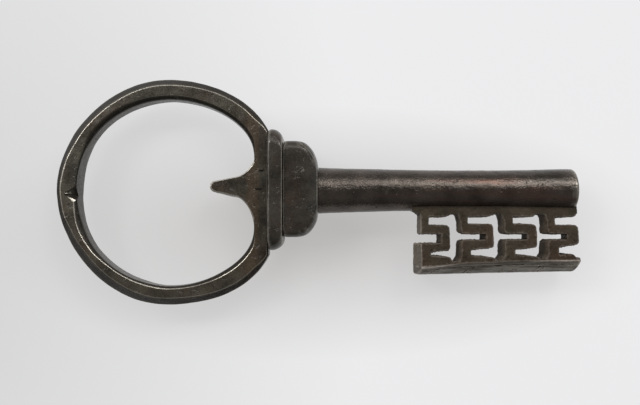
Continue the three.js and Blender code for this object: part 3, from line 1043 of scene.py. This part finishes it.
@dataclass
class Collar:
    """The plate that the bow sits on and the knop behind it."""

    bench: Bench
    material: Finish
    neck_radius: float = 5.75
    knop_middle: float = 0.12
    knop_corner: float = 2.2
    plate_corner: float = 4.0
    line_depth: float = 0.45
    line_width: float = 0.24
    lip_wear_and_glint: float = 0.5
    line_path: Table = (
        (7.7, 11.6), (8.5, 10.9), (9.8, 9.7), (10.9, 8.2), (11.6, 6.7), (12.0, 5.2), (12.2, 3.6),
    )
    dent_path: Table = ((7.8, 4.4), (8.5, 5.0))
    corner_steps: int = 14
    marks: Table = ((6.0, 0.22), (1.1, 0.05))
    plate_stations: Table = (
        (0.0, 0.7, 0.45), (0.02, 0.42, 0.2), (0.08, 0.12, 0.05), (0.2, 0.0, 0.0),
        (0.35, 0.0, 0.0), (0.5, 0.12, 0.0), (0.65, 0.4, 0.0), (0.78, 0.8, 0.0),
        (0.9, 1.35, 0.04), (0.97, 1.85, 0.16), (1.0, 2.3, 0.36),
    )
    knop_stations: Table = (
        (0.0, 0.10), (0.015, 0.05), (0.05, 0.01), (0.15, 0.0), (0.3, 0.0), (0.45, 0.01),
        (0.55, 0.04), (0.64, 0.09), (0.72, 0.17), (0.8, 0.29), (0.87, 0.43), (0.93, 0.6),
        (0.97, 0.77), (1.0, 1.0),
    )

    def plate(self) -> Piece:
        """Makes the plate with its rounded ends.

        Returns:
            The plate.
        """
        low, high = self.bench.datum.measure("collar_plate")
        loops = [
            rounded_rectangle(
                high.x * share, (low.y + high.y) / 2, (high.y - low.y) / 2 - draw_y,
                high.z - draw_z, self.plate_corner, self.corner_steps,
            )
            for share, draw_y, draw_z in self.plate_stations
        ]
        plate = self.bench.loft("collar_plate_filed", loops)
        self._soften(plate)
        return plate

    def knop(self) -> Piece:
        """Makes the bell-shaped knop with a scratched line and a dent on its front.

        Returns:
            The knop.
        """
        low, high = self.bench.datum.measure("collar_knop")
        half_y = (high.y - low.y) / 2
        loops = []
        for along, inwards in self.knop_stations:
            corner, section_y, section_z = (
                outside + (self.neck_radius - outside) * inwards
                for outside in (self.knop_corner, half_y, high.z)
            )
            loops.append(rounded_rectangle(
                low.x + (high.x - low.x) * along, self.knop_middle * (1 - inwards),
                section_y, section_z, corner, self.corner_steps,
            ))
        knop = self.bench.loft("collar_knop_filed", loops)
        self._soften(knop)
        bpy.context.view_layer.update()
        line, dent = (
            [self._skin(knop, *place) for place in path] for path in (self.line_path, self.dent_path)
        )
        for first, last in [*zip(line, line[1:]), dent]:
            blade = self.bench.blade(
                first, last, self.line_width, 0.1, self.line_depth, self.line_depth
            )
            self.bench.cut(knop, blade)
        self.bench.store_relief(knop)
        # Pale lips beside the scratch and the dent: partly wear, partly a painted highlight.
        self._mark_lip_wear_and_glint(knop, line, self.line_width + 0.02, self.lip_wear_and_glint)
        self._mark_lip_wear_and_glint(knop, dent, 0.0, self.lip_wear_and_glint + 0.1)
        return knop

    def _mark_lip_wear_and_glint(
        self, knop: Piece, path: list[tuple[Vector, Vector]], near: float, far: float
    ) -> None:
        """Marks as rubbed, so pale, the lip that a scratch has raised on its lower side: partly wear,
        partly a painted highlight where the dent shines.

        Args:
            knop: The knop.
            path: The scratch's places and the ways that the skin faces there.
            near: Where the lip starts, from the scratch's middle.
            far: Where it ends.
        """
        def on_lip(place: Vector) -> bool:
            """Tells whether a place lies on the lip."""
            for (start, _), (end, _) in zip(path, path[1:]):
                run = end - start
                share = (place - start).dot(run) / run.length_squared
                off = place - start - run * share
                if 0 <= share <= 1 and off.x + off.y < 0 and near <= off.length <= far:
                    return True
            return False

        self.bench.mark(knop, on_lip, 0.85)

    def _skin(self, knop: Piece, x: float, y: float) -> tuple[Vector, Vector]:
        """Gives the place on the knop's front above a point, and the way it faces."""
        start = self.bench.datum.at(x, y, 30)
        _, place, out, _ = knop.ray_cast(start, Vector((0, 0, -1)))
        return (place - self.bench.datum.at(0, 0, 0)) / MM, out

    def _soften(self, piece: Piece) -> None:
        """Gives a collar piece its smooth, slightly uneven skin."""
        self.bench.modify(piece, "SUBSURF", levels=2, render_levels=2)
        self.bench.roughen(piece, self.marks)

    def build(self) -> None:
        """Makes both pieces and hands them over."""
        self.bench.hand_over(self.plate(), Slot.COLLAR, self.material, "collar_plate")
        self.bench.hand_over(self.knop(), Slot.COLLAR, self.material, "collar_knop")


@dataclass
class Shank:
    """The pipe, drilled from the bit's end."""

    bench: Bench
    material: Finish
    tenon_radius: float = 3.0
    bore_radius: float = 3.2
    bore_depth: float = 45.0
    rim: float = 0.7
    around: int = 96
    marks: Table = ((8.0, 0.2), (1.3, 0.05))
    outside: Table = (
        (0.0, 5.75), (0.03, 5.66), (0.06, 5.58), (0.1, 5.5), (0.16, 5.42), (0.23, 5.33),
        (0.3, 5.21), (0.36, 5.11), (0.42, 5.05), (0.5, 5.02), (0.58, 5.02), (0.66, 5.04),
        (0.72, 5.07), (0.78, 5.12), (0.84, 5.19), (0.9, 5.27), (0.95, 5.33), (0.975, 5.35),
    )

    def profile(self) -> list[tuple[float, float]]:
        """Gives the pipe's profile as places along the shank and radii."""
        end = self.bench.datum.measure("shank_pipe")[1].x
        neck = self.bench.datum.measure("collar_knop")[1].x
        points = [(0.0, self.tenon_radius), (neck - 0.02, self.tenon_radius)]
        points.append((neck, self.tenon_radius + 0.02))
        points += [(neck + (end - neck) * share, radius) for share, radius in self.outside]
        rim_radius = self.outside[-1][1]
        for step in range(1, 6):
            angle = step / 5 * math.pi / 2
            points.append((
                end - self.rim * (1 - math.sin(angle)),
                rim_radius - self.rim * (1 - math.cos(angle)),
            ))
        return points + [
            (end, self.bore_radius + 0.45), (end - 0.08, self.bore_radius + 0.12),
            (end - 0.35, self.bore_radius), (end - 2, self.bore_radius),
            (end - self.bore_depth, self.bore_radius), (end - self.bore_depth - 1.7, 0.2),
        ]

    def build(self) -> None:
        """Makes the pipe and hands it over."""
        turns = [2 * math.pi * step / self.around for step in range(self.around)]
        loops = [
            [Vector((x, radius * math.cos(turn), radius * math.sin(turn))) for turn in turns]
            for x, radius in self._dense(self.profile())
        ]
        pipe = self.bench.loft("shank_pipe_drawn", loops)
        self.bench.modify(pipe, "SUBSURF", subdivision_type="SIMPLE", levels=1, render_levels=1)
        self.bench.roughen(pipe, self.marks)
        self.bench.hand_over(pipe, Slot.SHANK, self.material, "shank_pipe")

    @staticmethod
    def _dense(points: list[tuple[float, float]], step: float = 0.9) -> list[tuple[float, float]]:
        """Adds places to a profile where its points lie more than a step apart."""
        dense = []
        for (x, radius), (next_x, next_radius) in zip(points, points[1:]):
            parts = max(1, math.ceil(math.hypot(next_x - x, next_radius - radius) / step))
            for share in (part / parts for part in range(parts)):
                dense.append((x + (next_x - x) * share, radius + (next_radius - radius) * share))
        return [*dense, points[-1]]


@dataclass(frozen=True)
class WardFigure:
    """What differs between the four wards, in millimetres.

    Pairs give the front and the back, because the file was held at a slant.
    """

    width: float
    upper_wall: float
    middle_wall: tuple[float, float]
    lower_wall: float
    upper_gap_end: float
    middle_gap_end: float
    third_bar_end: float
    third_bar_rise: float
    lower_gap_end: float
    top_corner: float


@dataclass
class Bit:
    """Four meander wards between the shank and the foot."""

    bench: Bench
    material: Finish
    figures: tuple[WardFigure, ...] = (
        WardFigure(7.0, 1.95, (2.1, 2.1), 2.3, 8.65, 13.1, 15.35, 0.5, 16.05, 0.9),
        WardFigure(7.95, 1.85, (1.8, 1.7), 2.4, 8.35, 12.3, 14.8, 0.6, 16.15, 1.5),
        WardFigure(7.85, 2.2, (2.3, 1.6), 2.5, 8.35, 12.2, 14.75, 0.65, 15.9, 1.2),
        WardFigure(7.5, 1.95, (2.8, 1.75), 2.6, 8.6, 12.2, 14.2, 0.9, 16.05, 0.8),
    )
    slot_width: float = 2.7
    seat: float = 4.0
    seat_half_depth: float = 3.0
    foot_half_depth: float = 4.4
    ward_half_depth: float = 4.45
    ward_sections: tuple[float, ...] = (-1.0, -0.33, 0.33, 1.0)
    foot_seat: float = 0.3
    foot_ease: float = 0.5
    foot_corner: float = 0.4
    back_corner: float = 0.35
    foot_steps: tuple[int, int, int] = (14, 4, 24)
    shank_radius: float = 5.05
    root_flare: float = 1.05
    root_flare_back: float = 1.95
    root_flare_end: float = 5.9
    foot_lap: float = 0.06
    ramp: float = 2.0
    top_bar_end: float = 6.7
    back_draw: float = 0.2
    second_bar_end: float = 10.85
    foot_lip: float = 0.4
    foot_flare: float = 1.3
    foot_flare_back: float = 1.1
    overhang: float = 0.52
    lean: float = 0.45
    foot_tops: tuple[float, float] = (17.8, 16.5)
    foot_arrises: tuple[float, ...] = (19.2, 17.9, 17.4, 17.4)
    foot_reaches: tuple[float, float] = (21.05, 20.2)
    stroke_places: Table = (
        (38.6, 1.0), (39.7, 1.0), (48.0, 1.1), (49.2, 1.1), (57.0, 0.7), (59.6, 0.7),
        (60.4, 0.7), (65.4, 1.0), (66.6, 1.0), (73.8, 0.9), (74.8, 0.9),
    )
    file_step: float = 0.27
    file_depth: float = 0.24
    file_steady: float = 0.15
    file_waves: Table = ((11.3, 9.1), (-3.1, 4.7))
    ward_marks: Table = ((2.6, 0.22), (0.7, 0.19, 3))
    foot_marks: Table = ((3.0, 0.2), (0.8, 0.07))
    line_place: float = 0.15
    line_end: float = 1.5
    line_steps: int = 12
    stroke_low: float = 0.72
    stroke_rise: float = 0.46
    graver: float = 0.29
    graver_depth: float = 0.4
    crest: float = 0.7

    def __post_init__(self) -> None:
        """Reads where the foot ends; its other end follows from the wards."""
        self.foot_end = self.bench.datum.measure("bit_foot")[1].x
        shank_end = self.bench.datum.measure("shank_pipe")[1].x
        widths = sum(figure.width for figure in self.figures)
        self.first_left = shank_end - widths - self.slot_width * (len(self.figures) - 1)
        self.foot_start = self.first_left - self.overhang

    def _along(self, x: float) -> float:
        """Gives which share of the foot lies before x."""
        return (x - self.foot_start) / (self.foot_end - self.foot_start)

    def foot_reach(self, x: float) -> float:
        """Gives how deep the foot's crest lies at x."""
        return self.foot_reaches[0] + (self.foot_reaches[1] - self.foot_reaches[0]) * self._along(x)

    def foot_top(self, x: float) -> float:
        """Gives how deep the foot's upper face lies at x."""
        return self.foot_tops[0] + (self.foot_tops[1] - self.foot_tops[0]) * self._along(x)

    def foot_arris(self, x: float) -> float:
        """Gives how deep the arris on the foot's front lies at x."""
        spot = min(max(self._along(x), 0.0), 0.9999) * (len(self.foot_arrises) - 1)
        first = int(spot)
        start, end = self.foot_arrises[first:first + 2]
        return start + (end - start) * smooth(spot - first)

    def _gap_corner(self, number: int, right: float) -> tuple[float, float, float]:
        """Gives the corner where a lower gap's floor turns down to the foot."""
        if number == len(self.figures) - 1:
            return right - 1.7, self.foot_top(right) - 0.9, 0.6
        return right - 0.1, self.figures[number].lower_gap_end + self.foot_lip, 0.4

    def ward_outline(self, number: int, back: bool) -> Loop:
        """Gives the rounded corners of one ward.

        Args:
            number: Its number, from the bow.
            back: True for the outline on the back.

        Returns:
            The points, as many on the back as on the front.
        """
        figure = self.figures[number]
        last = number == len(self.figures) - 1
        before = sum(one.width + self.slot_width for one in self.figures[:number])
        left = self.first_left + before + (self.back_draw if back and number else 0.0)
        right = self.first_left + before + figure.width
        upper = left + figure.upper_wall
        middle = right - figure.middle_wall[back]
        lower = left + figure.lower_wall
        seat_left = left - (self.root_flare_back if number else self.ramp)
        seat_right = right + (0 if last else self.root_flare)
        lean = 0 if number else (-self.lean if back else self.lean)
        lower_left = left if number else self.foot_start + lean
        foot_left = left - self.foot_flare_back if number else self.foot_start + lean
        foot_right = right + self.foot_flare * (0.2 if last else 1)
        bar_edge = figure.third_bar_end - figure.third_bar_rise
        top_left = left if number else left - 0.1
        corners = [
            (seat_left, self.seat, 0.0), (seat_right, self.seat, 0.0),
            (seat_right, self.shank_radius, 0.0), (seat_right, self.root_flare_end - 0.1, 0.15),
            (right - figure.top_corner, self.top_bar_end, 0.3), (upper, self.top_bar_end, 0.12),
            (upper, figure.upper_gap_end, 0.12), (right, figure.upper_gap_end, 1.0),
            (right + 0.05, bar_edge, 0.8), (lower, figure.third_bar_end, 0.12),
            (lower, figure.lower_gap_end, 0.12), self._gap_corner(number, right),
            (foot_right, self.foot_arris(foot_right) - self.foot_lap, 0.0),
            (foot_left, self.foot_arris(foot_left) - self.foot_lap, 0.0),
            (lower_left, self.foot_top(left) - self.foot_flare_back, 0.3),
            (lower_left, figure.middle_gap_end, 1.15 if number else 0.35),
            (middle, figure.middle_gap_end, 0.25), (middle, self.second_bar_end, 0.25),
            (top_left, self.second_bar_end, 1.15 if number else 0.35),
            (top_left, self.root_flare_end + (1.7 if number else 0.3), 0.8),
            (top_left - (0.6 if number else 0.0), self.root_flare_end + 0.2, 0.2),
            (seat_left, self.root_flare_end - (0.1 if number else 0.85), 0.1),
        ]
        places = [Vector((x, -down, 0)) for x, down, _ in corners]
        points = []
        for index, (_, _, radius) in enumerate(corners):
            before, corner, after = (places[(index + turn) % len(places)] for turn in (-1, 0, 1))
            most = 0.45 * min((before - corner).length, (after - corner).length)
            points += rounding(before, corner, after, max(min(radius, most), 0.01), 3)
        return points

    def ward(self, number: int) -> Piece:
        """Makes one ward: sawn, filed and pitted.

        Args:
            number: Its number, from the bow.

        Returns:
            The ward.
        """
        front = self.ward_outline(number, False)
        back = self.ward_outline(number, True)
        loops = []
        for side in self.ward_sections:
            loop = []
            for behind, ahead in zip(back, front):
                point = behind.lerp(ahead, (side + 1) / 2)
                seat = self.foot_top(point.x) - self.foot_seat - self.seat
                down = min(1.0, (-point.y - self.seat) / seat)
                half = self.seat_half_depth + (self.ward_half_depth - self.seat_half_depth) * down
                loop.append(Vector((point.x, point.y, side * half)))
            loops.append(self._filed(loop, front))
        ward = self.bench.loft(f"bit_ward_{number + 1}_filed", loops)
        self.bench.modify(ward, "TRIANGULATE", ngon_method="BEAUTY")
        self.bench.melt(ward, 0.13, 2)
        self.bench.roughen(ward, self.ward_marks)
        self.bench.store_side_light(ward)
        return ward

    def _filed(self, loop: Loop, outline: Loop) -> Loop:
        """Makes the edges of the gaps ragged, as the file left them.

        Args:
            loop: One section of a ward.
            outline: The ward's front outline, which sets how many places each edge gets.

        Returns:
            The section with more places.
        """
        filed = []
        for index, start in enumerate(loop):
            following = (index + 1) % len(loop)
            run = loop[following] - start
            across = Vector((-run.y, run.x, 0)).normalized()
            level = self.file_steady + (1 - self.file_steady) * abs(across.y)
            parts = max(1, round((outline[following] - outline[index]).length / self.file_step))
            for part in range(parts):
                place = start + run * (part / parts)
                if part and self.seat + 1.1 < -place.y < self.foot_top(place.x) - 0.5:
                    waves = [math.sin(a * place.x + b * place.y) for a, b in self.file_waves]
                    place = place + across * (self.file_depth * math.prod(waves) * level)
                filed.append(place)
        return filed

    def _foot_loop(self, x: float, ease: float) -> Loop:
        """Gives the foot's section at x, drawn in all round by ease.

        Args:
            x: Its place along the key.
            ease: How far it is drawn in.

        Returns:
            The section's points.
        """
        arris = self.foot_arris(x)
        reach = self.foot_reach(x) - ease
        half = self.bench.datum.measure("bit_foot")[1].z - ease
        top = self.foot_top(x) + ease
        flat_steps, side_steps, round_steps = self.foot_steps
        held = half - self.foot_corner
        points = [(top, -held + 2 * held * i / flat_steps) for i in range(flat_steps)]
        for share in (i / side_steps for i in range(side_steps)):
            points.append((top + (arris - top) * share, half - self.foot_corner * (1 - share)))
        for across in (1 - 2 * i / round_steps for i in range(round_steps + 1)):
            rise = min(1.0, (1 - across) / 2 / self.crest)
            bulge = (reach - arris) * (1 - (1 - rise) ** 2)
            bulge -= self.back_corner * max(0.0, (-across - 0.9) / 0.1)
            points.append((arris + bulge, across * half))
        back = reach - self.back_corner
        points += [(back - (back - top) * i / side_steps, -half) for i in range(1, side_steps)]
        lean = self.lean * (1 - smooth((x - self.foot_start) / 6))
        section = [Vector((x, -down, z)) for down, z in points]
        return [Vector((p.x + lean * p.z / self.foot_half_depth, p.y, p.z)) for p in section]

    def foot(self) -> Piece:
        """Makes the foot with its rounded face and its cut strokes.

        Returns:
            The foot.
        """
        ease = self.foot_ease
        steps = 60
        span = self.foot_end - self.foot_start - 2 * ease
        stations = [(self.foot_start, ease * 0.6), (self.foot_start + ease * 0.35, ease * 0.2)]
        stations += [(self.foot_start + ease + span * i / steps, 0.0) for i in range(steps + 1)]
        stations += [(self.foot_end - ease * 0.3, ease * 0.3), (self.foot_end, ease * 1.2)]
        loops = [self._foot_loop(x, draw) for x, draw in stations]
        foot = self.bench.loft("bit_foot_filed", loops)
        self.bench.melt(foot, 0.13, 1)
        self.bench.roughen(foot, self.foot_marks[:1])
        for stroke in self._strokes():
            first, last = (self._face_point(*place) for place in stroke)
            self.bench.cut(foot, self.bench.blade(first, last, self.graver, 0.2, 0.3, self.graver_depth))
        self.bench.roughen(foot, self.foot_marks[1:])
        return foot

    def _face_point(self, x: float, rise: float) -> tuple[Vector, Vector]:
        """Gives a place on the foot's rounded face.

        Args:
            x: Its place along the key.
            rise: Its place from the front arris, 0, to the crest, 1.

        Returns:
            The place and the way that the face points there.
        """
        arris = self.foot_arris(x)
        bulge = self.foot_reach(x) - arris
        half = self.foot_half_depth
        point = Vector((x, -arris - bulge * (1 - (1 - rise) ** 2), half * (1 - 2 * self.crest * rise)))
        return point, Vector((0, -self.crest * half, bulge * (1 - rise))).normalized()

    def _strokes(self) -> list[Sequence[tuple[float, float]]]:
        """Gives the cut strokes as places along the key and across the rounded face."""
        strokes = [
            [(x + length * share, self.stroke_low - self.stroke_rise * share * length) for share in pair]
            for x, length in self.stroke_places
            for pair in ((0.0, 0.55), (0.5, 1.0))
        ]
        run = self.foot_end - self.foot_start - 2 * self.line_end
        start = self.foot_start + self.line_end
        marks = [(start + run * i / self.line_steps, self.line_place) for i in range(self.line_steps + 1)]
        return strokes + list(zip(marks, marks[1:]))

    def build(self) -> None:
        """Makes the wards and the foot and hands them over."""
        for number in range(len(self.figures)):
            ward = self.ward(number)
            self.bench.hand_over(ward, Slot.BIT, self.material, f"bit_ward_{number + 1}")
        self.bench.hand_over(self.foot(), Slot.BIT, self.material, "bit_foot")


@dataclass
class Studio:
    """The camera, the lamps, the surroundings and the floor."""

    middle_x: float = 0.765 * MM
    middle_y: float = -2.65 * MM
    height: float = 8 * MM
    distance: float = 175 * MM
    view_width: float = 160 * MM
    tilt: float = math.radians(2.5)
    sensor: float = 36.0
    floor_light: Color = (0.855, 0.855, 0.865, 1.0)
    # Painted shade: the floor's colour goes darker towards the left, where its light falls off.
    floor_painted_shade: Color = (0.66, 0.66, 0.66, 1.0)
    # Painted shadow: a dark pool on the floor under the key.
    floor_painted_shadow: Color = (0.575, 0.565, 0.555, 1.0)
    floor_glow: float = 0.80
    floor_in_gloss: float = 0.75
    painted_shade_spot: Table = ((0.9, 0.12, 0), (9.0, 6.0, 9.0))
    painted_shadow_spot: Table = ((0.0, 0.30, 0), (11.0, 30.0, 11.0))
    lamps: tuple[tuple[Any, ...], ...] = (
        ("strip_above", (0.0, 0.43, 0.69), (1.3, 0.10), 1.6),
        ("box_left", (-0.545, 0.333, 0.615), (0.26, 0.22), 2.1),
        ("box_right", (0.34, 0.54, 0.61), (0.26, 0.22), 1.6),
    )
    overhead: float = 0.13
    band: float = 1.2
    horizon: float = 0.05
    sky: Color = (1.0, 1.0, 1.01, 1.0)

    def camera(self) -> None:
        """Adds the camera over the key, looking almost straight down."""
        data = bpy.data.cameras.new("camera")
        data.sensor_width = self.sensor
        data.lens = self.sensor * self.distance / self.view_width
        data.clip_start = 0.01
        back = Vector((0, -math.sin(self.tilt), math.cos(self.tilt))) * self.distance
        camera = self._add(data, Vector((self.middle_x, self.middle_y, self.height)) + back)
        camera.rotation_euler = (self.tilt, 0, 0)
        bpy.context.scene.camera = camera

    @staticmethod
    def _add(data: bpy.types.ID, place: Sequence[float]) -> Piece:
        """Adds an object of the same name as its data at a place."""
        added = bpy.data.objects.new(data.name, data)
        bpy.context.collection.objects.link(added)
        added.location = place
        return added

    def lamp(
        self, name: str, place: tuple[float, float, float], size: tuple[float, float], power: float
    ) -> None:
        """Adds an area lamp that points at the key.

        Args:
            name: The lamp's name.
            place: Where it stands.
            size: Its width and height.
            power: Its power in watts.
        """
        data = bpy.data.lights.new(name, "AREA")
        data.shape = "RECTANGLE"
        data.size, data.size_y = size
        data.energy = power
        self._add(data, place).rotation_euler = (-Vector(place)).to_track_quat("-Z", "Y").to_euler()

    def floor(self) -> None:
        """Adds the floor, which camera and gloss see a little brighter than it is lit, and whose colour
        holds painted shade towards the left and a painted shadow pool under the key.
        """
        bpy.ops.mesh.primitive_plane_add(size=6, location=(0, 0, 0))
        floor = bpy.context.object
        floor.name = "floor"
        material = bpy.data.materials.new("pale_floor")
        maker = NodeMaker(material)
        # Painted shade: the floor goes darker towards the left.
        shade = maker.spot(*self.painted_shade_spot)
        # Painted shadow: a dark pool under the key.
        dim = maker.ramp(maker.spot(*self.painted_shadow_spot), (0.0, 0.0), (0.35, 0.35), (0.9, 1.0))
        color = maker.mix(shade, self.floor_light, self.floor_painted_shade)
        color = maker.mix(dim, color, self.floor_painted_shadow)
        plain = maker.node("ShaderNodeBsdfDiffuse", {}, {"Color": color})
        bright = maker.node("ShaderNodeEmission", {}, {"Color": color, "Strength": 1.0})
        rays = maker.node("ShaderNodeLightPath", {}, {}, "Is Camera Ray")
        gloss = maker.node("ShaderNodeLightPath", {}, {}, "Is Glossy Ray")
        share = rays * self.floor_glow + gloss * self.floor_in_gloss
        mixed = maker.node("ShaderNodeMixShader", {}, {0: share, 1: plain, 2: bright})
        maker.node("ShaderNodeOutputMaterial", {}, {"Surface": mixed})
        floor.data.materials.append(material)

    def world(self) -> None:
        """Sets surroundings: a bright band halfway up, dim overhead and at the horizon."""
        world = bpy.data.worlds.new("studio")
        bpy.context.scene.world = world
        maker = NodeMaker(world)
        way = maker.node("ShaderNodeTexCoord", {}, {}, "Generated")
        up = maker.part(way, 2)
        middle = maker.ramp(up, (0.05, 0.0), (0.35, 0.35), (0.62, 1.0), (0.84, 0.9), (0.94, 0.0))
        sides = maker.ramp(maker.part(way, 1) * 0.5 + 0.5, (0.3, 0.12), (0.5, 0.35), (0.8, 1.0))
        above = maker.ramp(up, (0.2, self.horizon), (0.9, self.overhead))
        inputs = {"Color": self.sky, "Strength": above + middle * sides * self.band}
        light = maker.node("ShaderNodeBackground", {}, inputs)
        maker.node("ShaderNodeOutputWorld", {}, {"Surface": light})

    def build(self) -> None:
        """Builds the whole studio."""
        bpy.context.scene.view_settings.view_transform = "Standard"
        self.camera()
        self.floor()
        self.world()
        for lamp in self.lamps:
            self.lamp(*lamp)


FINISHES = {
    Slot.BOW: ForgedIron(
        Slot.BOW, (0.017, 0.014, 0.010, 1), (0.073, 0.065, 0.047, 1), (0.064, 0.038, 0.023, 1),
        rust_share=0.35, specular=0.4, braze_from=-17.6, braze_to=-13.9,
    ),
    Slot.COLLAR: ForgedIron(
        Slot.COLLAR, (0.014, 0.012, 0.009, 1), (0.048, 0.042, 0.033, 1), (0.052, 0.030, 0.020, 1),
        rust_share=0.45, roughness=0.28, metallic=0.22, specular=0.3, worn_share=0.4,
    ),
    Slot.SHANK: ForgedIron(
        Slot.SHANK, (0.032, 0.026, 0.020, 1), (0.083, 0.067, 0.055, 1), (0.106, 0.050, 0.034, 1),
        rust_share=0.9, streak=(0.12, 1.0, 1.0), roughness=0.22, metallic=0.7,
        grain_depth=0.06 * MM, speck=1.3, worn_share=0.5, bare_from=9.6,
    ),
    Slot.BIT: ForgedIron(
        Slot.BIT, (0.024, 0.019, 0.013, 1), (0.056, 0.045, 0.032, 1), (0.060, 0.036, 0.023, 1),
        rust_share=0.5, roughness=0.6, metallic=0.1, ior=1.4, specular=0.08, pit_depth=0.16 * MM,
        worn=(0.52, 0.45, 0.40, 1.0), worn_share=0.13, worn_metallic=0.5,
        polish_from=-19.25, polish_slope=0.0436, side_light_share=0.75,
    ),
}


def main() -> None:
    """Builds the studio and the key."""
    logging.basicConfig(level=logging.INFO)
    Studio().build()
    bench = Bench(Datum.from_frame())
    materials = {slot: finish.make() for slot, finish in FINISHES.items()}
    Bow(bench, materials[Slot.BOW]).build()
    Collar(bench, materials[Slot.COLLAR]).build()
    Shank(bench, materials[Slot.SHANK]).build()
    Bit(bench, materials[Slot.BIT]).build()


if __name__ == "__main__":
    main()
